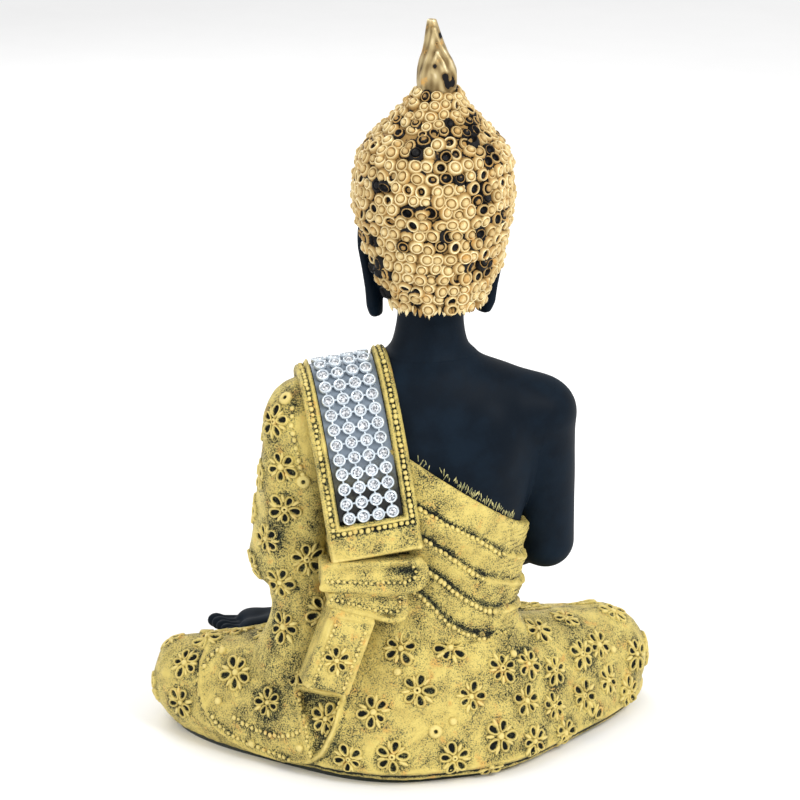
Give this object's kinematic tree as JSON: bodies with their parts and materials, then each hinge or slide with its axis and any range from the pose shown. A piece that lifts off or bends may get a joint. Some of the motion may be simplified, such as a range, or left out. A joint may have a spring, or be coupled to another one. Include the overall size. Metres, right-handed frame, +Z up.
{
  "type": "seated meditating figure",
  "caption": "Seated cross-legged meditating figure in cast resin, with a draped gold robe, curled hair with a flame finial and a rhinestone-trimmed shoulder sash.",
  "frame": {"origin": "centre of the bounding box at the resting face", "axes": "+Z up, the figure faces -Y, +X to the figure's own left"},
  "size_m": [0.1648, 0.1008, 0.2362],
  "materials": {
    "skin_paint": "matte paint on cast resin",
    "gold_robe": "antiqued gold paint over a dark ground",
    "gold_hair": "antiqued pale gold paint over a dark ground",
    "silver_trim": "silver plated plastic",
    "crystal": "clear faceted",
    "clear_adhesive": "clear film over a silver ground",
    "felt": "black felt",
    "plug_rubber": "moulded rubber"
  },
  "bodies": {
    "root": {"felt_base_pad": "felt", "base_plug": "plug_rubber", "lower_robe_and_legs": "gold_robe", "torso": "skin_paint", "torso_wrap": "gold_robe", "head": "skin_paint", "hair_cap": "gold_hair", "flame_finial": "gold_hair", "right_arm": "skin_paint", "right_hand": "skin_paint", "left_sleeve": "gold_robe", "left_hand": "skin_paint", "right_foot": "skin_paint", "shoulder_sash": "gold_robe", "sash_fold_upper": "gold_robe", "sash_fold_lower": "gold_robe", "sash_tail": "gold_robe", "trim_adhesive": "clear_adhesive", "trim_cups": "silver_trim", "trim_links": "silver_trim", "trim_stones": "crystal"}
  },
  "joints": []
}
